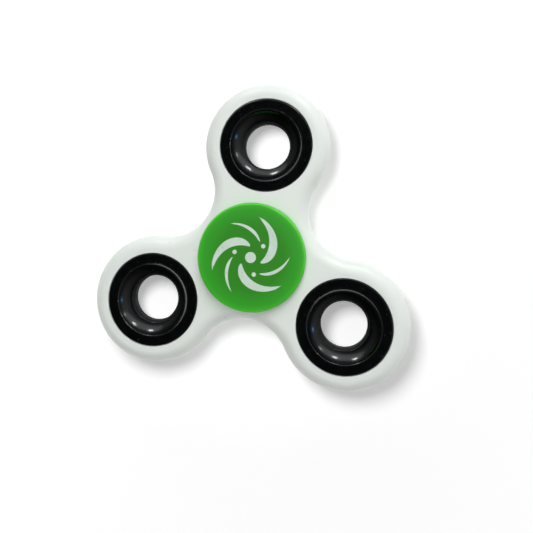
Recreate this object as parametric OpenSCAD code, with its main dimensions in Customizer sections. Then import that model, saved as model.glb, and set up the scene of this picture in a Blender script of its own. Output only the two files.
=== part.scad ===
// Three-lobed fidget spinner. A moulded body turns on a 608-size ball bearing, two caps
// pressed into the bearing's bore are held between finger and thumb, and each lobe
// carries a steel ring weight.
// Millimetres. +Z is the spin axis, z = 0 is the lower cap's outer face, where the
// spinner lies on a table, and +Y points to the first lobe.

/* [Body] */
// Distance from the spin axis to the middle of each lobe
lobe_distance = 26.2; // [25.5:0.1:27]
// Outer radius of a lobe
lobe_radius = 15.1; // [14.8:0.1:16]
// Radius of the hollow curve between two lobes
waist_radius = 11; // [10.5:0.5:13]
// Thickness of the body
body_height = 7.2; // [7:0.1:8]
// Radius of the rounded rim along both edges of the body
rim_radius = 3.2; // [1:0.1:3.4]

/* [Weights] */
// Outer radius of a ring weight
weight_radius = 11; // [10:0.1:11.5]
// Height of a ring weight
weight_height = 7; // [6.5:0.1:7.2]
// Radius of the straight hole through a ring weight
weight_bore = 5.4; // [4.8:0.1:5.6]
// Length of the straight hole, halfway through a weight
weight_bore_length = 1.6; // [1:0.1:1.8]
// Radius of the ridge between the sloping mouth of the hole and the bowl above it
weight_ridge_radius = 5.9; // [5.7:0.1:6.2]
// Height of that ridge above the middle of a weight
weight_ridge_height = 1.4; // [1.2:0.1:1.6]
// Outer radius of the bowl, where it meets the flat face of a weight
weight_bowl_radius = 8.5; // [8:0.1:9.2]
// Radius of the hollow curve of the bowl in section
weight_bowl_curve = 5; // [4.2:0.1:8]

/* [Bearing] */
// Outer radius of the ball bearing
bearing_radius = 11; // [10.8:0.1:11.2]
// Radius of the bearing's bore
bearing_bore = 4; // [3.8:0.1:4.2]
// Width of the bearing
bearing_width = 7; // [6.8:0.1:7.2]
// Radius of a ball
ball_radius = 1.984; // [1.9:0.001:2]
// Thickness of the sheet that the shields and the cage are pressed from
sheet = 0.3; // [0.25:0.05:0.35]

/* [Caps] */
// Radius of a cap
cap_radius = 12.5; // [11.5:0.1:14]
// Thickness of a cap's disc
cap_thickness = 2; // [1.6:0.1:2.5]
// Gap between a cap's disc and the bearing
cap_gap = 0.5; // [0.3:0.1:1]
// Radius of the rounded outer edge of a cap
cap_edge = 0.6; // [0.2:0.1:1]

/* [Hidden] */
$fn = 96;
lobe_count = 3;
ball_count = 7;
first_lobe_angle = 90;
lobe_step = 360 / lobe_count;
waist_step = lobe_step / 2;
ball_step = 360 / ball_count;
// Height of the middle plane of the body, the weights and the bearing
mid_z = cap_thickness + cap_gap + bearing_width / 2;
// Distance from the spin axis to the middle of a hollow curve, which meets its two lobes smoothly
waist_distance = lobe_distance * cos(waist_step)
    + sqrt(pow(lobe_radius + waist_radius, 2) - pow(lobe_distance * sin(waist_step), 2));
// Turn at a lobe's middle from straight outwards to where a hollow curve begins
lobe_half_turn = atan2(waist_distance * sin(waist_step), waist_distance * cos(waist_step) - lobe_distance);
// Turn at a hollow curve's middle from where it begins to its point nearest the spin axis
waist_half_turn = lobe_half_turn - waist_step;
// Steps in half a lobe, in half a hollow curve, and in a quarter turn of the rounded rim
lobe_steps = 14;
waist_steps = 7;
rim_steps = 5;
half_steps = lobe_steps + waist_steps;
outline_steps = 2 * lobe_count * half_steps;
// How far the seats' cutters reach past the body
cut_margin = 1;
// Chamfer on the rims of the weights and the bearing's races
small_chamfer = 0.25;
// Bearing: ball circle, groove and shoulder radii, and the recess that holds a shield
pitch_radius = (bearing_radius + bearing_bore) / 2;
ball_clearance = 0.01;
groove_radius = 1.04 * ball_radius;
groove_offset = groove_radius - ball_radius - ball_clearance;
inner_shoulder = pitch_radius - 1.45;
outer_shoulder = pitch_radius + 1.45;
shield_seat_radius = outer_shoulder + 0.65;
shield_seat_depth = 0.75;
shield_rim = 0.5;
shield_clearance = 0.1;
// Cage: strip of sheet between the races, bent into an arch over each ball
cage_width = 1.5;
pocket_radius = ball_radius + 0.06;
rivet_circle_radius = pitch_radius * cos(ball_step / 2) + pocket_radius * sin(ball_step / 2);
rivet_radius = 0.35;
rivet_head_radius = 0.6;
rivet_head_height = 0.25;
// Caps: shoulder that stands on the inner race, and the stem pressed into its bore
shoulder_radius = 5.6;
stem_tip_gap = 0.1;
stem_chamfer = 0.4;
cap_inner_edge = 0.25;

// Quarter disc in the quadrant given by the signs of x and y
module quarter_disc(r, x_sign, y_sign) {
    intersection() {
        circle(r);
        translate([x_sign > 0 ? 0 : -r, y_sign > 0 ? 0 : -r])
            square(r);
    }
}

// Places its children at the middle of lobe k, turned so that +X points outwards
module at_lobe(k) {
    rotate([0, 0, first_lobe_angle + k * lobe_step])
        translate([lobe_distance, 0, mid_z])
            children();
}

// Places its children at ball k on the ball circle, with +X outwards
module at_ball(k) {
    rotate([0, 0, first_lobe_angle + k * ball_step])
        translate([pitch_radius, 0, mid_z])
            children();
}

// Places its children midway between ball k and the next, on the middle plane
module at_rivet(k) {
    rotate([0, 0, first_lobe_angle + (k + 0.5) * ball_step])
        translate([rivet_circle_radius, 0, mid_z])
            children();
}

// Point at step j from a lobe's tip towards the next hollow curve, with the lobe on +X
function half_outline(j, inset) =
    j <= lobe_steps
        ? let (turn = lobe_half_turn * j / lobe_steps)
          [
              lobe_distance + (lobe_radius - inset) * cos(turn),
              (lobe_radius - inset) * sin(turn)
          ]
        : let (turn = lobe_half_turn + 180 - waist_half_turn * (j - lobe_steps) / waist_steps)
          [
              waist_distance * cos(waist_step) + (waist_radius + inset) * cos(turn),
              waist_distance * sin(waist_step) + (waist_radius + inset) * sin(turn)
          ];

// Lobe that step n of the whole outline belongs to, and its signed step from that lobe's tip
function lobe_of(n) = floor(n / (2 * half_steps));
function step_of(n) = n % (2 * half_steps) - half_steps + 1;

// Point at step n of the whole outline, at height z and moved inwards by inset
function outline_point(n, inset, z) =
    let (
        turn = first_lobe_angle + lobe_of(n) * lobe_step,
        side = step_of(n) < 0 ? -1 : 1,
        p = half_outline(abs(step_of(n)), inset)
    )
    [
        p[0] * cos(turn) - side * p[1] * sin(turn),
        p[0] * sin(turn) + side * p[1] * cos(turn),
        z
    ];

// Solid body without its seats: the outline repeated up the rounded rim, closed by flat faces
// that fan out from the spin axis and from the middle of each lobe
module body_blank() {
    rim_straight = body_height - 2 * rim_radius;
    rim_rows = [
        for (side = [-1, 1], i = [0 : rim_steps])
            let (turn = (side < 0 ? i - rim_steps : i) * 90 / rim_steps)
            [
                rim_radius * (1 - cos(turn)),
                mid_z + side * rim_straight / 2 + rim_radius * sin(turn)
            ]
    ];
    wall = [
        for (row = rim_rows, n = [0 : outline_steps - 1])
            outline_point(n, row[0], row[1])
    ];
    face_heights = [rim_rows[0][1], rim_rows[len(rim_rows) - 1][1]];
    middles = [
        for (z = face_heights, k = [-1 : lobe_count - 1])
            let (turn = first_lobe_angle + k * lobe_step, reach = k < 0 ? 0 : lobe_distance)
            [reach * cos(turn), reach * sin(turn), z]
    ];
    rows = len(rim_rows);
    wall_faces = [
        for (row = [0 : rows - 2], n = [0 : outline_steps - 1])
            let (
                a = row * outline_steps + n,
                b = row * outline_steps + (n + 1) % outline_steps
            )
            each [[a, a + outline_steps, b], [b, a + outline_steps, b + outline_steps]]
    ];
    // Triangles of one flat face: each step of the outline fans to its lobe's middle or to the axis
    function fan(first, axis) = [
        for (n = [0 : outline_steps - 1])
            let (
                next = (n + 1) % outline_steps,
                on_lobe = step_of(n) >= -lobe_steps && step_of(n) < lobe_steps,
                middle = axis + 1 + lobe_of(n),
                start = step_of(n) == -lobe_steps,
                end = step_of(n) == lobe_steps
            )
            each concat(
                [[first + n, on_lobe ? middle : axis, first + next]],
                start ? [[first + n, axis, middle]] : [],
                end ? [[first + n, middle, axis]] : []
            )
    ];
    below = [for (face = fan(0, rows * outline_steps)) [face[0], face[2], face[1]]];
    above = fan((rows - 1) * outline_steps, rows * outline_steps + lobe_count + 1);
    polyhedron(concat(wall, middles), concat(wall_faces, above, below));
}

// Moulded body with a seat for the bearing and one for each weight
module spinner_body() {
    cut = body_height + 2 * cut_margin;
    color("ghostwhite")
        difference() {
            body_blank();
            translate([0, 0, mid_z])
                cylinder(r = bearing_radius, h = cut, center = true);
            for (k = [0 : lobe_count - 1])
                at_lobe(k)
                    cylinder(r = weight_radius, h = cut, center = true);
        }
}

// Upper half of a weight's section: flat face, hollow bowl, ridge, sloping mouth and straight hole
module weight_half_section() {
    half = weight_height / 2;
    rim = [weight_bowl_radius, half];
    ridge = [weight_ridge_radius, weight_ridge_height];
    hole_edge = [weight_bore, weight_bore_length / 2];
    chord = rim - ridge;
    rise = sqrt(pow(weight_bowl_curve, 2) - pow(norm(chord) / 2, 2));
    bowl_centre = (rim + ridge) / 2 + rise * [-chord[1], chord[0]] / norm(chord);
    mouth = ridge - hole_edge;
    difference() {
        polygon([
            [weight_bore, 0],
            [weight_radius, 0],
            [weight_radius, half - small_chamfer],
            [weight_radius - small_chamfer, half],
            hole_edge + mouth * (half - hole_edge[1]) / mouth[1],
            hole_edge
        ]);
        translate(bowl_centre)
            circle(r = weight_bowl_curve);
    }
}

// Steel ring weight of lobe k
module weight_ring(k) {
    color("black")
        at_lobe(k)
            rotate_extrude() {
                weight_half_section();
                mirror([0, 1, 0])
                    weight_half_section();
            }
}

// Outer race, with its ball groove and a recess at each face for a shield
module bearing_outer_race() {
    half = bearing_width / 2;
    seat = half - shield_seat_depth;
    color("silver")
        translate([0, 0, mid_z])
            rotate_extrude()
                difference() {
                    polygon([
                        [outer_shoulder, -seat],
                        [shield_seat_radius, -seat],
                        [shield_seat_radius, -half],
                        [bearing_radius - small_chamfer, -half],
                        [bearing_radius, -half + small_chamfer],
                        [bearing_radius, half - small_chamfer],
                        [bearing_radius - small_chamfer, half],
                        [shield_seat_radius, half],
                        [shield_seat_radius, seat],
                        [outer_shoulder, seat]
                    ]);
                    translate([pitch_radius - groove_offset, 0])
                        circle(groove_radius);
                }
}

// Inner race, with its ball groove
module bearing_inner_race() {
    half = bearing_width / 2;
    color("silver")
        translate([0, 0, mid_z])
            rotate_extrude()
                difference() {
                    polygon([
                        [bearing_bore, -half + small_chamfer],
                        [bearing_bore + small_chamfer, -half],
                        [inner_shoulder, -half],
                        [inner_shoulder, half],
                        [bearing_bore + small_chamfer, half],
                        [bearing_bore, half - small_chamfer]
                    ]);
                    translate([pitch_radius + groove_offset, 0])
                        circle(groove_radius);
                }
}

// Ball k of the bearing
module ball(k) {
    color("gainsboro")
        at_ball(k)
            sphere(ball_radius);
}

// Point beside ball k: out from the ball's middle by out, and round the ball circle by along
function by_ball(k, out, along) =
    let (turn = first_lobe_angle + k * ball_step)
    [
        (pitch_radius + out) * cos(turn) - along * sin(turn),
        (pitch_radius + out) * sin(turn) + along * cos(turn)
    ];

// Upper half of the pressed cage: an arch over each ball, and a riveted link from ball to ball
module cage_half() {
    half = cage_width / 2;
    arch_radius = pocket_radius + sheet;
    for (k = [0 : ball_count - 1])
        at_ball(k)
            translate([-half, 0, 0])
                rotate([90, 0, 90])
                    linear_extrude(cage_width)
                        difference() {
                            circle(arch_radius);
                            circle(pocket_radius);
                            translate([-arch_radius, -2 * arch_radius])
                                square(2 * arch_radius);
                        }
    difference() {
        translate([0, 0, mid_z])
            linear_extrude(sheet)
                for (k = [0 : ball_count - 1])
                    polygon([
                        by_ball(k, half, pocket_radius),
                        by_ball(k, -half, pocket_radius),
                        by_ball(k + 1, -half, -pocket_radius),
                        by_ball(k + 1, half, -pocket_radius)
                    ]);
        for (k = [0 : ball_count - 1])
            at_rivet(k)
                cylinder(r = rivet_radius, h = 4 * sheet, center = true);
    }
}

// Half of the cage above the middle plane
module cage_upper() {
    color("tan")
        cage_half();
}

// Half of the cage below the middle plane
module cage_lower() {
    color("tan")
        translate([0, 0, 2 * mid_z])
            mirror([0, 0, 1])
                cage_half();
}

// Rivets that hold the halves of the cage together, one between each two balls
module cage_rivets() {
    color("goldenrod")
        for (k = [0 : ball_count - 1])
            at_rivet(k) {
                cylinder(r = rivet_radius, h = 2 * sheet, center = true);
                for (side = [-1, 1])
                    translate([0, 0, side * (sheet + rivet_head_height / 2)])
                        cylinder(r = rivet_head_radius, h = rivet_head_height, center = true);
            }
}

// Shield above the middle plane: a pressed ring held in the outer race's recess
module shield() {
    seat = bearing_width / 2 - shield_seat_depth;
    inner = inner_shoulder + shield_clearance;
    rotate_extrude()
        polygon([
            [shield_seat_radius, seat],
            [shield_seat_radius, seat + shield_rim],
            [inner, seat + shield_rim],
            [inner, seat + shield_rim - sheet],
            [shield_seat_radius - shield_rim, seat + shield_rim - sheet],
            [shield_seat_radius - shield_rim, seat]
        ]);
}

// Shield at the upper face of the bearing
module shield_upper() {
    color("lightgray")
        translate([0, 0, mid_z])
            shield();
}

// Shield at the lower face of the bearing
module shield_lower() {
    color("lightgray")
        translate([0, 0, mid_z])
            mirror([0, 0, 1])
                shield();
}

// Cap below the middle plane: disc, shoulder on the inner race, and stem in its bore
module cap() {
    stem_top = mid_z - stem_tip_gap;
    shoulder_top = cap_thickness + cap_gap;
    flat_radius = cap_radius - cap_edge;
    rotate_extrude() {
        polygon([
            [0, 0],
            [flat_radius, 0],
            [flat_radius, cap_edge],
            [cap_radius, cap_edge],
            [cap_radius, cap_thickness - cap_inner_edge],
            [cap_radius - cap_inner_edge, cap_thickness],
            [shoulder_radius, cap_thickness],
            [shoulder_radius, shoulder_top],
            [bearing_bore, shoulder_top],
            [bearing_bore, stem_top - stem_chamfer],
            [bearing_bore - stem_chamfer, stem_top],
            [0, stem_top]
        ]);
        translate([flat_radius, cap_edge])
            quarter_disc(cap_edge, 1, -1);
    }
}

// Cap that a finger holds, on top
module cap_upper() {
    color("limegreen")
        translate([0, 0, 2 * mid_z])
            mirror([0, 0, 1])
                cap();
}

// Cap that a thumb holds, and that the spinner lies on
module cap_lower() {
    color("limegreen")
        cap();
}

spinner_body();
weight_ring(0);  // weight_ring_1
weight_ring(1);  // weight_ring_2
weight_ring(2);  // weight_ring_3
bearing_outer_race();
bearing_inner_race();
ball(0);  // ball_1
ball(1);  // ball_2
ball(2);  // ball_3
ball(3);  // ball_4
ball(4);  // ball_5
ball(5);  // ball_6
ball(6);  // ball_7
cage_upper();
cage_lower();
cage_rivets();
shield_upper();
shield_lower();
cap_upper();
cap_lower();
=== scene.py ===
"""Looks of a three-lobed fidget spinner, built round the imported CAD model."""

import math

import bpy
from mathutils import Euler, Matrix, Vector
from mathutils.geometry import delaunay_2d_cdt


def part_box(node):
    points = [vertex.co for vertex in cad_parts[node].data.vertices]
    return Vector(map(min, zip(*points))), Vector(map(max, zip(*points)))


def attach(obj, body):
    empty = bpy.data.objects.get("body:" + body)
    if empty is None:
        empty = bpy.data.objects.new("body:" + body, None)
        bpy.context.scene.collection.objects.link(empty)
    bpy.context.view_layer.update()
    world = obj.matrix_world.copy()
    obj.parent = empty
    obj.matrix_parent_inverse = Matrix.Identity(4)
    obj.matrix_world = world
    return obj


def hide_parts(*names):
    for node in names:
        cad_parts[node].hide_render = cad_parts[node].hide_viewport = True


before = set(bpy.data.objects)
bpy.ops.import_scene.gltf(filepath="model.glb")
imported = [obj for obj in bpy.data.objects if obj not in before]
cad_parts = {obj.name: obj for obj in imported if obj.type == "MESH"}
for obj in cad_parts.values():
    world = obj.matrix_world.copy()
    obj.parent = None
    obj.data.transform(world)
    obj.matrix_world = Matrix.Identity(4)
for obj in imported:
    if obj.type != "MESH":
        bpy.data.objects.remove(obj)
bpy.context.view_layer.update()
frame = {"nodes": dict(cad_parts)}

MM = 0.001
LOBES = (1, 2, 3)
BALLS = range(1, 8)


# ---------------------------------------------------------------- sizes, in metres

def middle(node):
    """Centre of a node's box."""
    low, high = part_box(node)
    return (Vector(low) + Vector(high)) / 2


def extent(node, axis):
    """Length of a node's box along one axis."""
    low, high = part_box(node)
    return high[axis] - low[axis]


MID_Z = middle("spinner_body").z
BODY_HEIGHT = extent("spinner_body", 2)
LOBE_CENTRES = [middle(f"weight_ring_{k}") for k in LOBES]
LOBE_DISTANCE = Vector(LOBE_CENTRES[0][:2]).length
LOBE_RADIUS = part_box("spinner_body")[1][1] - LOBE_DISTANCE
WAIST_RADIUS = 11.0 * MM
RIM_RADIUS = 3.2 * MM
SEAT_RADIUS = extent("weight_ring_1", 0) / 2
WEIGHT_HALF = extent("weight_ring_1", 2) / 2
BORE_RADIUS = 5.4 * MM
BORE_HALF = 0.8 * MM
RIDGE_RADIUS = 5.9 * MM
RIDGE_HEIGHT = 1.4 * MM
BOWL_RADIUS = 8.5 * MM
BOWL_CURVE = 5.0 * MM
CAP_RADIUS = extent("cap_upper", 0) / 2
CAP_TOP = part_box("cap_upper")[1][2]
CAP_THICKNESS = 2.0 * MM
CAP_GAP = 0.5 * MM
STEM_RADIUS = 4.0 * MM
SHOULDER_RADIUS = 5.6 * MM
LOBE_STEP = math.tau / 3
FIRST_LOBE = math.pi / 2


# ---------------------------------------------------------------- mesh helpers

def new_object(name, verts, faces, corner_normals=None):
    """Mesh object with smooth faces, and exact normals if they are given for the face corners."""
    mesh = bpy.data.meshes.new(name)
    mesh.from_pydata(verts, [], faces)
    mesh.validate()
    mesh.polygons.foreach_set("use_smooth", [True] * len(mesh.polygons))
    if corner_normals:
        mesh.normals_split_custom_set(corner_normals)
    obj = bpy.data.objects.new(name, mesh)
    bpy.context.scene.collection.objects.link(obj)
    return obj


def line(*points):
    """Straight stretches of a section through (radius, z) points, as runs of (point, normal) pairs.

    A section runs with the solid on its left, so the surface normal points to its right."""
    runs = []
    for a, b in zip(points, points[1:]):
        along = (Vector(b) - Vector(a)).normalized()
        normal = (along.y, -along.x)
        runs.append([(a, normal), (b, normal)])
    return runs


def arc(centre, radius, start, end, steps=8):
    """Round stretch of a section between two angles in degrees, convex if it runs anticlockwise."""
    side = 1 if end > start else -1
    run = []
    for i in range(steps + 1):
        turn = math.radians(start + (end - start) * i / steps)
        u = (math.cos(turn), math.sin(turn))
        point = (centre[0] + radius * u[0], centre[1] + radius * u[1])
        run.append((point, (side * u[0], side * u[1])))
    return [run]


def flipped(runs, top=0):
    """Section turned upside down, so that a height of 0 goes to top."""
    return [
        [((p[0], top - p[1]), (n[0], -n[1])) for p, n in reversed(run)] for run in reversed(runs)
    ]


def lathe(name, runs, centre=(0, 0, 0), steps=192):
    """Solid of revolution about a vertical axis, from a closed section of (radius, z) runs."""
    centre = Vector(centre)
    rings, verts = {}, []

    def ring(point):
        key = (round(point[0] / MM, 5), round(point[1] / MM, 5))
        if key not in rings:
            count = 1 if key[0] == 0 else steps
            rings[key] = (len(verts), count)
            for i in range(count):
                turn = math.tau * i / steps
                offset = Vector((point[0] * math.cos(turn), point[0] * math.sin(turn), point[1]))
                verts.append(centre + offset)
        return rings[key]

    faces, normals = [], []
    for run in runs:
        for (a, na), (b, nb) in zip(run, run[1:]):
            (start_a, count_a), (start_b, count_b) = ring(a), ring(b)
            if start_a == start_b or count_a == count_b == 1:
                continue
            for i in range(steps):
                j = (i + 1) % steps
                corners = [(start_a, count_a, i, na), (start_a, count_a, j, na)]
                corners += [(start_b, count_b, j, nb), (start_b, count_b, i, nb)]
                if count_a == 1:
                    corners.pop(1)
                elif count_b == 1:
                    corners.pop(2)
                faces.append([s + (c > 1) * k for s, c, k, _ in corners])
                for _, _, k, n in corners:
                    turn = math.tau * k / steps
                    normals.append((n[0] * math.cos(turn), n[0] * math.sin(turn), n[1]))
    return new_object(name, verts, faces, normals)


# ---------------------------------------------------------------- shapes

def body_outline(lobe_steps=56, waist_steps=28):
    """Outline of the body at mid height, anticlockwise, as (point, outward normal) pairs in 2D."""
    half = LOBE_STEP / 2
    reach = LOBE_RADIUS + WAIST_RADIUS
    waist_distance = LOBE_DISTANCE * math.cos(half) + math.sqrt(
        reach ** 2 - (LOBE_DISTANCE * math.sin(half)) ** 2
    )
    waist = Vector((waist_distance * math.cos(half), waist_distance * math.sin(half)))
    lobe_turn = math.atan2(waist.y, waist.x - LOBE_DISTANCE)
    waist_turn = lobe_turn - half
    side = []
    for i in range(lobe_steps):
        turn = lobe_turn * i / lobe_steps
        u = Vector((math.cos(turn), math.sin(turn)))
        side.append((Vector((LOBE_DISTANCE, 0)) + LOBE_RADIUS * u, u))
    for i in range(waist_steps + 1):
        turn = lobe_turn + math.pi - waist_turn * i / waist_steps
        u = Vector((math.cos(turn), math.sin(turn)))
        side.append((waist + WAIST_RADIUS * u, -u))
    mirrored = [(Vector((p.x, -p.y)), Vector((n.x, -n.y))) for p, n in side[1:-1]]
    lobe = mirrored[::-1] + side
    outline = []
    for k in range(3):
        turn = Euler((0, 0, FIRST_LOBE + k * LOBE_STEP)).to_matrix().to_2x2()
        outline += [(turn @ p, turn @ n) for p, n in lobe]
    return outline


def rim_section(steps=14):
    """Body's rim from the upper face to the lower one, as (inset, z, normal's angle) rows."""
    straight = BODY_HEIGHT / 2 - RIM_RADIUS
    upper = []
    for i in range(steps + 1):
        angle = math.pi / 2 * (1 - i / steps)
        upper.append((
            RIM_RADIUS * (1 - math.cos(angle)),
            straight + RIM_RADIUS * math.sin(angle),
            angle,
        ))
    return upper + [(inset, -z, -angle) for inset, z, angle in reversed(upper)]


def inside(point, loop):
    """Whether a 2D point is inside a closed loop of points."""
    found = False
    for a, b in zip(loop, loop[1:] + loop[:1]):
        if (a.y > point.y) != (b.y > point.y):
            if point.x < a.x + (b.x - a.x) * (point.y - a.y) / (b.y - a.y):
                found = not found
    return found


def make_body():
    """White moulded body: rounded rim, flat faces, and four seats with softened mouths."""
    seat_steps = 160
    mouth = 0.12 * MM
    outline = body_outline()
    rows = rim_section()
    verts, normals, faces = [], [], []
    for inset, z, angle in rows:
        for p, n in outline:
            q = p - inset * n
            verts.append((q.x, q.y, MID_Z + z))
            normals.append((n.x * math.cos(angle), n.y * math.cos(angle), math.sin(angle)))
    count = len(outline)
    for r in range(len(rows) - 1):
        for i in range(count):
            j = (i + 1) % count
            faces.append((r * count + i, (r + 1) * count + i, (r + 1) * count + j, r * count + j))

    seats = [Vector((0, 0))] + [c.xy for c in LOBE_CENTRES]
    upper = []
    for i in range(7):
        angle = math.pi / 2 * (1 - i / 6)
        upper.append((
            SEAT_RADIUS + mouth * (1 - math.cos(angle)),
            BODY_HEIGHT / 2 - mouth + mouth * math.sin(angle),
            angle,
        ))
    seat_rows = upper + [(r, -z, -angle) for r, z, angle in reversed(upper)]
    seat_starts = []
    for centre in seats:
        seat_starts.append(len(verts))
        for radius, z, angle in seat_rows:
            for i in range(seat_steps):
                turn = math.tau * i / seat_steps
                u = Vector((math.cos(turn), math.sin(turn)))
                p = centre + radius * u
                verts.append((p.x, p.y, MID_Z + z))
                normals.append((-u.x * math.cos(angle), -u.y * math.cos(angle), math.sin(angle)))
        for r in range(len(seat_rows) - 1):
            for i in range(seat_steps):
                j = (i + 1) % seat_steps
                a, b = seat_starts[-1] + r * seat_steps, seat_starts[-1] + (r + 1) * seat_steps
                faces.append((a + i, a + j, b + j, b + i))

    loops = [list(range(count))]
    loops += [list(range(s, s + seat_steps)) for s in seat_starts]
    flat = [v for loop in loops for v in loop]
    points = [Vector(verts[v][:2]) for v in flat]
    place = {v: i for i, v in enumerate(flat)}
    edges = [(place[a], place[b]) for loop in loops for a, b in zip(loop, loop[1:] + loop[:1])]
    rim = [points[place[v]] for v in loops[0]]
    _, _, triangles, origin, _, _ = delaunay_2d_cdt(points, edges, [], 0, 1e-9)
    to_lower = {v: v + (len(rows) - 1) * count for v in loops[0]}
    for loop in loops[1:]:
        to_lower.update({v: v + (len(seat_rows) - 1) * seat_steps for v in loop})
    mouth_radius = SEAT_RADIUS + mouth
    for triangle in triangles:
        corners = [flat[origin[i][0]] for i in triangle]
        spot = sum((Vector(verts[v][:2]) for v in corners), Vector((0, 0))) / 3
        on_seat = any((spot - centre).length < mouth_radius for centre in seats)
        if on_seat or not inside(spot, rim):
            continue
        faces.append(tuple(corners))
        faces.append(tuple(to_lower[v] for v in reversed(corners)))
    return new_object("body_shell", verts, faces, [normals[v] for face in faces for v in face])


def make_weight(k):
    """Ring weight of lobe k: flat face, hollow bowl down to a ridge, sloping mouth and hole."""
    half, curve = WEIGHT_HALF, BOWL_CURVE
    seat_play = 0.012 * MM
    outer = SEAT_RADIUS - seat_play
    edge, rim_round, ridge_round = 0.4 * MM, 0.25 * MM, 0.12 * MM
    rim = Vector((BOWL_RADIUS, half))
    ridge = Vector((RIDGE_RADIUS, RIDGE_HEIGHT))
    hole_edge = Vector((BORE_RADIUS, BORE_HALF))
    chord = rim - ridge
    rise = math.sqrt(curve ** 2 - (chord.length / 2) ** 2)
    bowl = (rim + ridge) / 2 + rise * Vector((-chord.y, chord.x)) / chord.length

    # centre of the rounding that touches the flat face and the bowl
    rim_z = half - rim_round
    aside = math.sqrt((curve + rim_round) ** 2 - (bowl.y - rim_z) ** 2)
    rim_centre = Vector((bowl.x + aside, rim_z))
    # centre of the rounding that touches the bowl and the sloping mouth
    down = (hole_edge - ridge).normalized()
    out = Vector((down.y, -down.x))
    reach = ridge - ridge_round * out - bowl
    along = reach.dot(down)
    span = math.sqrt(along ** 2 - reach.length_squared + (curve + ridge_round) ** 2)
    slide = min(-along - span, -along + span, key=abs)
    ridge_centre = ridge - ridge_round * out + slide * down
    mouth_angle = math.degrees(math.atan2(out.y, out.x))

    def turn(start, end):
        """Angle of the line from one point to another, in degrees."""
        return math.degrees(math.atan2(end.y - start.y, end.x - start.x))

    upper = [
        *line((outer, 0), (outer, half - edge)),
        *arc((outer - edge, half - edge), edge, 0, 90, 6),
        *line((outer - edge, half), (rim_centre.x, half)),
        *arc(rim_centre, rim_round, 90, turn(rim_centre, bowl), 8),
        *arc(bowl, curve, turn(bowl, rim_centre), turn(bowl, ridge_centre), 28),
        *arc(ridge_centre, ridge_round, turn(ridge_centre, bowl), mouth_angle, 5),
        *line(ridge_centre + ridge_round * out, hole_edge, (BORE_RADIUS, 0)),
    ]
    return lathe(f"weight_{k}", upper + flipped(upper), LOBE_CENTRES[k - 1])


def make_cap(name, top):
    """Cap: disc with a rounded outer edge, shoulder on the inner race, and stem."""
    edge, inner_edge = 0.6 * MM, 0.25 * MM
    stem_end, chamfer = 5.9 * MM, 0.4 * MM
    shoulder_top = CAP_THICKNESS + CAP_GAP
    runs = [
        *line((0, 0), (CAP_RADIUS - edge, 0)),
        *arc((CAP_RADIUS - edge, edge), edge, -90, 0, 10),
        *line((CAP_RADIUS, edge), (CAP_RADIUS, CAP_THICKNESS - inner_edge)),
        *arc((CAP_RADIUS - inner_edge, CAP_THICKNESS - inner_edge), inner_edge, 0, 90, 5),
        *line(
            (CAP_RADIUS - inner_edge, CAP_THICKNESS),
            (SHOULDER_RADIUS, CAP_THICKNESS),
            (SHOULDER_RADIUS, shoulder_top),
            (STEM_RADIUS, shoulder_top),
            (STEM_RADIUS, stem_end - chamfer),
            (STEM_RADIUS - chamfer, stem_end),
            (0, stem_end),
        ),
    ]
    return lathe(name, flipped(runs, CAP_TOP) if top else runs, steps=256)


def polar(radius, turn):
    """2D point at a radius and an angle from the centre."""
    return Vector((radius * math.cos(turn), radius * math.sin(turn)))


def blade(root, reach, sweep, width, start, steps=40):
    """Outline of a curved stroke that tapers at both ends, as two rows of 2D points."""
    left, right = [], []

    def middle_line(t):
        """Point of the stroke's middle line, from t = 0 at its root to 1 at its tip."""
        return polar(root + (reach - root) * t, start + sweep * t ** 0.9)

    for i in range(steps + 1):
        t = i / steps
        here = middle_line(t)
        along = (middle_line(t + 0.01) - here).normalized()
        across = Vector((-along.y, along.x))
        swell = 0.16 + 0.84 * math.sin(math.pi * t ** 0.8)
        tip = min(1, 12 * (1 - t) + 0.05)
        half = width / 2 * swell * tip
        left.append(here + half * across)
        right.append(here - half * across)
    return left, right


def make_motif():
    """Printed pattern on the upper cap: three curved strokes, three thin ones, and dots."""
    ink = 0.02 * MM
    verts, faces = [], []

    def slab(loop_faces, points):
        """Thin solid on the cap's face, from 2D points and the faces that fill them."""
        base, n = len(verts), len(points)
        verts.extend((p.x, p.y, CAP_TOP + ink) for p in points)
        verts.extend((p.x, p.y, CAP_TOP - ink) for p in points)
        edges = {}
        for face in loop_faces:
            faces.append(tuple(base + i for i in face))
            faces.append(tuple(base + n + i for i in reversed(face)))
            for a, b in zip(face, face[1:] + face[:1]):
                edges[(a, b)] = True
        for a, b in edges:
            if (b, a) not in edges:
                faces.append((base + b, base + a, base + n + a, base + n + b))

    def stroke(**settings):
        left, right = blade(**settings)
        n = len(left)
        slab([[n + i, n + i + 1, i + 1, i] for i in range(n - 1)], left + right)

    def dot(centre, radius, steps=32):
        points = [centre + radius * polar(1, math.tau * i / steps) for i in range(steps)]
        slab([list(range(steps))], points)

    for k in range(3):
        start = math.radians(100) + k * LOBE_STEP
        stroke(root=2.6 * MM, reach=9.4 * MM, sweep=math.radians(105), width=1.9 * MM, start=start)
        stroke(
            root=4.2 * MM,
            reach=9.0 * MM,
            sweep=math.radians(62),
            width=0.75 * MM,
            start=start - math.radians(34),
        )
        dot(polar(3.9 * MM, start - math.radians(52)), 0.5 * MM)
    dot(Vector((0, 0)), 1.25 * MM)
    obj = new_object("cap_motif", verts, faces)
    obj.data.polygons.foreach_set("use_smooth", [False] * len(obj.data.polygons))
    return obj


# ---------------------------------------------------------------- materials

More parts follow.
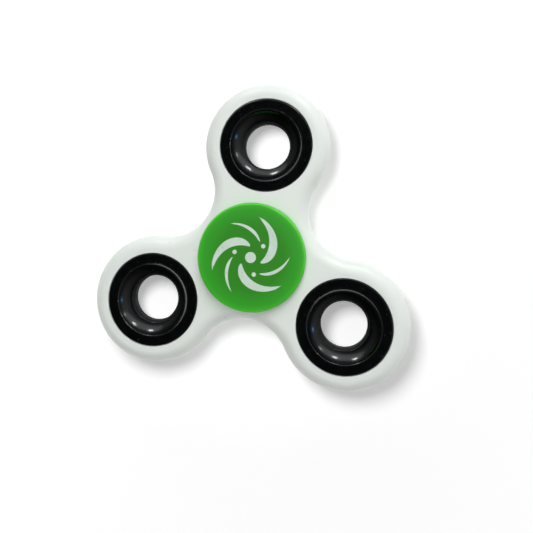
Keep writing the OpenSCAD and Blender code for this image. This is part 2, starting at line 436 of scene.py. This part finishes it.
class Nodes:
    """Short calls that add nodes to one node tree."""

    def __init__(self, tree):
        self.nodes = tree.nodes
        self.links = tree.links

    def feed(self, socket, value):
        """Links another node's output to a socket, or gives the socket a constant."""
        if isinstance(value, bpy.types.NodeSocket):
            self.links.new(value, socket)
        else:
            socket.default_value = value

    def node(self, kind, **inputs):
        """New node with constants or links on its inputs, where a name's _ stands for a space."""
        node = self.nodes.new(kind)
        for key, value in inputs.items():
            self.feed(node.inputs[key.replace("_", " ")], value)
        return node

    def math(self, operation, a, b=0.0, c=0.0):
        node = self.nodes.new("ShaderNodeMath")
        node.operation = operation
        for socket, value in zip(node.inputs, (a, b, c)):
            self.feed(socket, value)
        return node.outputs[0]

    def vector_math(self, operation, a, b=(0, 0, 0)):
        node = self.nodes.new("ShaderNodeVectorMath")
        node.operation = operation
        self.feed(node.inputs[0], a)
        self.feed(node.inputs[1], b)
        return node.outputs

    def ramp(self, fac, *stops):
        """Colour ramp through (position, colour) stops. A single number stands for a grey."""
        node = self.nodes.new("ShaderNodeValToRGB")
        elements = node.color_ramp.elements
        while len(elements) < len(stops):
            elements.new(0.5)
        for element, (position, colour) in zip(elements, stops):
            element.position = position
            grey = isinstance(colour, (int, float))
            element.color = (colour, colour, colour, 1) if grey else (*colour, 1)
        self.links.new(fac, node.inputs["Fac"])
        return node.outputs["Color"]


class Shader(Nodes):
    """Node material with one Principled surface, and short calls for the nodes that feed it."""

    def __init__(self, name):
        self.material = bpy.data.materials.new(name)
        self.material.use_nodes = True
        super().__init__(self.material.node_tree)
        self.surface = self.nodes["Principled BSDF"]

    def set(self, **values):
        """Constant values on the surface's own sockets, such as Coat_Weight=0.3."""
        for key, value in values.items():
            self.surface.inputs[key.replace("_", " ")].default_value = value

    def link(self, source, socket):
        self.links.new(source, self.surface.inputs[socket])

    def place(self):
        """Position in the object's own frame."""
        return self.nodes.new("ShaderNodeTexCoord").outputs["Object"]

    def noise(self, scale, detail=2.0, roughness=0.5, vector=None):
        node = self.node("ShaderNodeTexNoise", Scale=scale, Detail=detail, Roughness=roughness)
        self.links.new(vector or self.place(), node.inputs["Vector"])
        return node.outputs["Fac"]

    def mix(self, fac, a, b):
        """Mix of two colours, each a colour or another node's output."""
        node = self.nodes.new("ShaderNodeMix")
        node.data_type = "RGBA"
        self.feed(node.inputs["Factor"], fac)
        for name, value in (("A", a), ("B", b)):
            linked = isinstance(value, bpy.types.NodeSocket)
            self.feed(node.inputs[name], value if linked else (*value, 1))
        return node.outputs["Result"]

    def around(self, centre):
        """Distance from a vertical axis through centre, in millimetres."""
        offset = self.vector_math("SUBTRACT", self.place(), (centre[0], centre[1], 0))["Vector"]
        flat = self.vector_math("MULTIPLY", offset, (1 / MM, 1 / MM, 0))["Vector"]
        return self.vector_math("LENGTH", flat)["Value"]

    def bump(self, height, distance, strength=1.0, normal=None):
        node = self.node("ShaderNodeBump", Height=height, Distance=distance, Strength=strength)
        if normal:
            self.links.new(normal, node.inputs["Normal"])
        self.links.new(node.outputs["Normal"], self.surface.inputs["Normal"])
        return node.outputs["Normal"]


def body_plastic():
    """Smooth white ABS, slightly milky, with a little mould waviness and a few dark specks."""
    s = Shader("body_plastic")
    s.set(IOR=1.5, Subsurface_Weight=0.12, Subsurface_Scale=0.0010)
    s.set(Subsurface_Radius=(1.0, 1.1, 0.9))
    colour = s.ramp(s.noise(40, 1), (0.3, (0.818, 0.858, 0.814)), (0.7, (0.826, 0.862, 0.818)))
    speck = s.ramp(s.noise(760, 1, 0.3), (0.79, 0.0), (0.82, 0.45))
    s.link(s.mix(speck, colour, (0.42, 0.41, 0.38)), "Base Color")
    # kept above 0.28, because a range that spans about 0.274 leaves an edge in the render
    s.link(s.ramp(s.noise(60, 1), (0.3, 0.29), (0.7, 0.32)), "Roughness")
    s.bump(s.noise(45, 1), 0.00003, 0.15)
    return s.material


def weight_paint(k):
    """Glossy black enamel on a steel ring, with a painted highlight, a thin grey line, on its two
    fine edges, and a few worn chips on the bowl's edge.
    """
    s = Shader(f"weight_paint_{k}")
    s.set(IOR=1.5, Coat_Weight=0.4, Coat_Roughness=0.06, Coat_IOR=1.5)
    radius = s.around(LOBE_CENTRES[k - 1])

    def edge_line(at, width):
        """1 on the circle of radius at, and 0 from a width away, both in millimetres."""
        away = s.math("ABSOLUTE", s.math("SUBTRACT", radius, at))
        return s.math("MAXIMUM", s.math("SUBTRACT", 1.0, s.math("DIVIDE", away, width)), 0.0)

    # circles where the painted highlight lines lie; the bowl's circle also carries the worn chips
    bowl_line = edge_line(BOWL_RADIUS / MM + 0.04, 0.16)
    outer_highlight_line = edge_line(SEAT_RADIUS / MM - 0.18, 0.16)
    broken = s.math("MAXIMUM", s.math("SUBTRACT", s.noise(330, 3, 0.7), 0.575), 0.0)
    wear = s.math("MINIMUM", s.math("MULTIPLY", bowl_line, s.math("MULTIPLY", broken, 6.0)), 1.0)
    deep, pale = (0.0015, 0.0018, 0.002), (0.003, 0.0035, 0.0038)
    base = s.ramp(s.noise(500, 3), (0.35, deep), (0.75, pale))
    dust = s.math("MULTIPLY", s.ramp(s.noise(2600, 2, 0.6), (0.70, 0.0), (0.76, 1.0)), 0.35)
    coated = s.mix(dust, base, (0.16, 0.165, 0.17))
    # painted highlight: a thin grey line round the bowl's edge and round the outer edge, standing
    # in for the light that their roundings catch
    painted_edge_highlight = s.mix(s.math("MAXIMUM", bowl_line, outer_highlight_line), coated, (0.016, 0.0165, 0.017))
    s.link(s.mix(wear, painted_edge_highlight, (0.24, 0.215, 0.17)), "Base Color")
    s.link(s.ramp(s.noise(650, 4, 0.65), (0.3, 0.13), (0.8, 0.26)), "Roughness")
    peel = s.bump(s.noise(900, 2, 0.4), 0.000012, 0.35)
    s.bump(s.noise(240, 1), 0.00003, 0.25, peel)
    return s.material


def cap_plastic():
    """Green moulded plastic, a little translucent, with its colour painted lighter towards its edge
    as a painted highlight on the rounded rim.
    """
    s = Shader("cap_plastic")
    s.set(IOR=1.5, Subsurface_Weight=0.12, Subsurface_Scale=0.001)
    s.set(Subsurface_Radius=(0.5, 1.0, 0.3))
    radius = s.math("DIVIDE", s.around((0, 0, 0)), CAP_RADIUS / MM)
    wobble = s.math("MULTIPLY_ADD", s.noise(120, 3), 0.06, radius)
    # painted highlight: the base colour grows lighter towards the cap's edge and is brightest on
    # its rounded rim
    colour = s.ramp(
        wobble,
        (0.0, (0.030, 0.250, 0.008)),
        (0.62, (0.028, 0.278, 0.009)),
        (0.90, (0.028, 0.380, 0.013)),
        (0.985, (0.042, 0.47, 0.017)),
        (1.0, (0.080, 0.60, 0.028)),
    )
    s.link(colour, "Base Color")
    s.link(s.ramp(s.noise(380, 4, 0.7), (0.3, 0.29), (0.8, 0.42)), "Roughness")
    wave = s.bump(s.noise(170, 2), 0.00003, 0.4)
    s.bump(s.noise(3000, 2), 0.000004, 0.4, wave)
    return s.material


def cap_ink():
    """Pad-printed ink, near white, with fine pinholes that let the cap's green through."""
    s = Shader("cap_ink")
    s.set(Roughness=0.42, IOR=1.45)
    tone = s.ramp(s.noise(260, 3), (0.3, (0.58, 0.72, 0.61)), (0.75, (0.68, 0.80, 0.71)))
    pin = s.ramp(s.noise(2600, 2, 0.6), (0.66, 0.0), (0.74, 1.0))
    s.link(s.mix(pin, tone, (0.30, 0.52, 0.31)), "Base Color")
    s.bump(s.noise(2200, 2), 0.000006, 0.5)
    return s.material


def ground_steel(name, colour, low, high):
    """Bearing steel with fine turning marks round the spin axis."""
    s = Shader(name)
    s.set(Metallic=1.0)
    radius = s.around((0, 0, 0))
    rings = s.node("ShaderNodeCombineXYZ", X=radius)
    marks = s.noise(14, 3, 0.7, rings.outputs[0])
    stain = s.noise(300, 3)
    dark = tuple(0.82 * c for c in colour)
    s.link(s.ramp(stain, (0.3, dark), (0.7, colour)), "Base Color")
    s.link(s.ramp(marks, (0.3, low), (0.7, high)), "Roughness")
    s.bump(marks, 0.000006, 0.4)
    return s.material


def ball_steel():
    """Polished steel with faint rolling haze."""
    s = Shader("ball_steel")
    s.set(Metallic=1.0)
    haze = s.ramp(s.noise(700, 3), (0.3, (0.78, 0.79, 0.81)), (0.7, (0.88, 0.89, 0.90)))
    s.link(haze, "Base Color")
    s.link(s.ramp(s.noise(1800, 4, 0.7), (0.3, 0.05), (0.8, 0.16)), "Roughness")
    return s.material


def bore_paint():
    """Matte black of a weight's hole, where the enamel is thin and the steel is unpolished."""
    s = Shader("bore_paint")
    s.set(IOR=1.4, Specular_IOR_Level=0.22)
    dark, light = (0.011, 0.0112, 0.0115), (0.020, 0.0205, 0.021)
    s.link(s.ramp(s.noise(700, 3), (0.35, dark), (0.75, light)), "Base Color")
    s.link(s.ramp(s.noise(900, 3, 0.6), (0.3, 0.55), (0.8, 0.75)), "Roughness")
    s.bump(s.noise(1500, 2), 0.000008, 0.4)
    return s.material


def paint(obj, *materials):
    """Gives the object these materials, the first of them all over."""
    obj.data.materials.clear()
    for material in materials:
        obj.data.materials.append(material)


def paint_bore(weight, k, material):
    """Gives the faces of a weight's hole, inside its ridge, a second material."""
    weight.data.materials.append(material)
    for face in weight.data.polygons:
        if (face.center.xy - LOBE_CENTRES[k - 1].xy).length < RIDGE_RADIUS - 0.1 * MM:
            face.material_index = 1


# ---------------------------------------------------------------- the spinner

def add_piece(obj, body, material, slot, *nodes):
    """Puts a finished piece on its CAD body, in place of the CAD nodes that it stands for."""
    paint(obj, material)
    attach(obj, body)
    if nodes:
        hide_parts(*nodes)


def build_spinner():
    add_piece(make_body(), "rotor", body_plastic(), "body_plastic", "spinner_body")
    bore = bore_paint()
    for k in LOBES:
        weight = make_weight(k)
        add_piece(weight, "rotor", weight_paint(k), "weight_paint", f"weight_ring_{k}")
        paint_bore(weight, k, bore)
    green = cap_plastic()
    add_piece(make_cap("cap_top", True), "hub", green, "cap_plastic", "cap_upper")
    add_piece(make_cap("cap_bottom", False), "hub", green, "cap_plastic", "cap_lower")
    add_piece(make_motif(), "hub", cap_ink(), "cap_ink")
    race = ground_steel("race_steel", (0.66, 0.67, 0.69), 0.18, 0.26)
    sheet = ground_steel("sheet_steel", (0.56, 0.56, 0.57), 0.28, 0.45)
    polished = ball_steel()
    nodes = frame["nodes"]
    for name in ("bearing_outer_race", "bearing_inner_race"):
        paint(nodes[name], race)
    for name in ("cage_upper", "cage_lower", "cage_rivets", "shield_upper", "shield_lower"):
        paint(nodes[name], sheet)
    for k in BALLS:
        paint(nodes[f"ball_{k}"], polished)


# ---------------------------------------------------------------- stage, light and camera

def add_floor():
    """Plain white table that the lower cap rests on, softly lit from within as a light table is."""
    half = 6.0
    corners = [(-half, -half, 0), (half, -half, 0), (half, half, 0), (-half, half, 0)]
    floor = new_object("floor", corners, [(0, 1, 2, 3)])
    s = Shader("floor_white")
    s.set(Roughness=0.9, Specular_IOR_Level=0.0)
    s.set(Emission_Color=(1, 1, 1, 1))
    metres = s.math("DIVIDE", s.around((0, 0, 0)), 1 / MM)
    glow = s.ramp(metres, (0.05, 0.365), (0.11, 0.49), (0.45, 0.80), (1.0, 0.97))
    s.link(glow, "Emission Strength")
    s.link(s.ramp(s.noise(40, 2), (0.3, 0.945), (0.7, 0.955)), "Base Color")
    paint(floor, s.material)
    return floor


def add_backdrop(steps=64):
    """White wall far round the table, which only the camera sees, behind the low views."""
    radius, height = 5.0, 4.0
    verts = []
    for z in (0, height):
        for i in range(steps):
            turn = math.tau * i / steps
            verts.append((radius * math.cos(turn), radius * math.sin(turn), z))
    faces = [(i, (i + 1) % steps, steps + (i + 1) % steps, steps + i) for i in range(steps)]
    wall = new_object("backdrop", verts, faces)
    s = Shader("backdrop_white")
    s.set(Roughness=0.9, Specular_IOR_Level=0.0, Emission_Color=(1, 1, 1, 1), Emission_Strength=1.0)
    paint(wall, s.material)
    for kind in ("diffuse", "glossy", "transmission", "shadow"):
        setattr(wall, f"visible_{kind}", False)


def aim(azimuth, elevation):
    """Direction in space. Azimuth is anticlockwise from +X, and both are in degrees."""
    a, e = math.radians(azimuth), math.radians(elevation)
    return Vector((math.cos(a) * math.cos(e), math.sin(a) * math.cos(e), math.sin(e)))


def place_light(lamp, location, targets):
    """Puts a light in the scene, unseen by the camera, so that it lights only its targets."""
    lamp.location = location
    lamp.visible_camera = False
    lamp.light_linking.receiver_collection = targets
    bpy.context.scene.collection.objects.link(lamp)


def add_key(targets):
    """Soft lamp at the camera's height and to its left, whose shadows fall to the lower right.

    Its light doesn't fade with distance, so that the table is evenly white."""
    data = bpy.data.lights.new("key", "POINT")
    data.shadow_soft_size = 27 * MM
    data.energy = 26.5
    data.use_nodes = True
    tree = Nodes(data.node_tree)
    falloff = tree.node("ShaderNodeLightFalloff", Strength=1.0)
    tree.links.new(falloff.outputs["Constant"], tree.nodes["Emission"].inputs["Strength"])
    lamp = bpy.data.objects.new("key", data)
    lamp.visible_glossy = False
    place_light(lamp, Vector((-22, 43, 116)) * MM, targets)


def add_light(name, toward, distance, size, power, targets, colour=(1, 1, 1), gloss=False):
    """Area light aimed at the spinner, which either lights its surfaces or is mirrored in them."""
    data = bpy.data.lights.new(name, "AREA")
    data.shape = "RECTANGLE"
    data.size, data.size_y = size
    data.energy = power
    data.color = colour
    lamp = bpy.data.objects.new(name, data)
    lamp.rotation_mode = "QUATERNION"
    lamp.rotation_quaternion = (-toward).to_track_quat("-Z", "Y")
    lamp.visible_glossy = gloss
    lamp.visible_diffuse = not gloss
    place_light(lamp, Vector((0, 0, MID_Z)) + distance * toward, targets)


def add_world():
    """Studio that is dark overhead, brightest at +Y and +X, dim low down, light at the horizon."""
    world = bpy.data.worlds.new("studio")
    world.use_nodes = True
    tree = Nodes(world.node_tree)
    direction = tree.nodes.new("ShaderNodeTexCoord").outputs["Generated"]

    def along(vector):
        """Part of the direction that lies along a vector."""
        return tree.vector_math("DOT_PRODUCT", direction, vector)["Value"]

    dark_patch = along(aim(218, 77))
    height = along((0, 0, 1))
    sky = tree.ramp(
        dark_patch, (0.15, 0.58), (0.45, 0.58), (0.74, 0.36), (0.82, 0.08), (0.87, 0.008)
    )
    rise = tree.ramp(height, (0.0, 0.06), (0.2, 0.32), (0.42, 0.85), (0.65, 1.0))
    horizon = tree.ramp(height, (0.0, 0.7), (0.07, 0.0))
    side = tree.math("ADD", along((0.22, 0.42, 0)), 0.44)
    high = tree.math("MULTIPLY", tree.math("MULTIPLY", sky, side), rise)
    background = tree.nodes["Background"]
    background.inputs["Color"].default_value = (1, 1, 1, 1)
    tree.links.new(tree.math("MAXIMUM", horizon, high), background.inputs["Strength"])
    bpy.context.scene.world = world


def group(name, objects):
    """Collection of a light's targets."""
    collection = bpy.data.collections.new(name)
    for obj in objects:
        collection.objects.link(obj)
    return collection


def add_lights(pieces, floor):
    add_world()
    table = group("table", [floor])
    spinner = group("spinner", pieces)
    add_key(table)
    # lights that shade the surfaces
    add_light("overhead", aim(90, 80), 0.5, (0.40, 0.40), 1.21, spinner)
    add_light("soft_far", aim(79, 38), 0.5, (0.30, 0.30), 1.18, spinner, (0.96, 0.99, 1.0))
    add_light("soft_near", aim(270, 45), 0.5, (0.30, 0.30), 0.30, spinner)

    # lights that are mirrored in them
    cool = (0.96, 0.98, 1.0)
    add_light("window", aim(88, 36), 0.45, (0.90, 0.25), 0.48, spinner, (0.93, 0.98, 1.0), True)
    add_light("lamp_right", aim(72, 28), 0.4, (0.06, 0.06), 0.20, spinner, cool, True)
    add_light("lamp_left", aim(117, 22), 0.4, (0.06, 0.06), 0.20, spinner, cool, True)
    add_light("lamp_side", aim(37, 21), 0.4, (0.05, 0.05), 0.045, spinner, (0.97, 0.98, 1.0), True)
    add_light("screen", aim(359, 21), 0.4, (0.04, 0.07), 0.05, spinner, (0.10, 0.42, 1.0), True)


def add_camera():
    """Camera close above the spinner, where the photographer's was."""
    place = Vector((19.4, 11.9, 112.0)) * MM + Vector((0, 0, MID_Z + WEIGHT_HALF))
    turn = Vector((0.040, 0.1227, 0.1139))
    data = bpy.data.cameras.new("camera")
    data.sensor_width = 36
    data.lens = 32.9
    data.shift_x = -0.031
    data.shift_y = -0.139
    data.clip_start = 0.005
    camera = bpy.data.objects.new("camera", data)
    camera.location = place
    camera.rotation_mode = "AXIS_ANGLE"
    camera.rotation_axis_angle = (turn.length, *turn.normalized())
    bpy.context.scene.collection.objects.link(camera)
    bpy.context.scene.camera = camera


bpy.context.scene.view_settings.view_transform = "Standard"
build_spinner()
pieces = [obj for obj in bpy.context.scene.objects if obj.type == "MESH" and not obj.hide_render]
add_lights(pieces, add_floor())
add_backdrop()
add_camera()
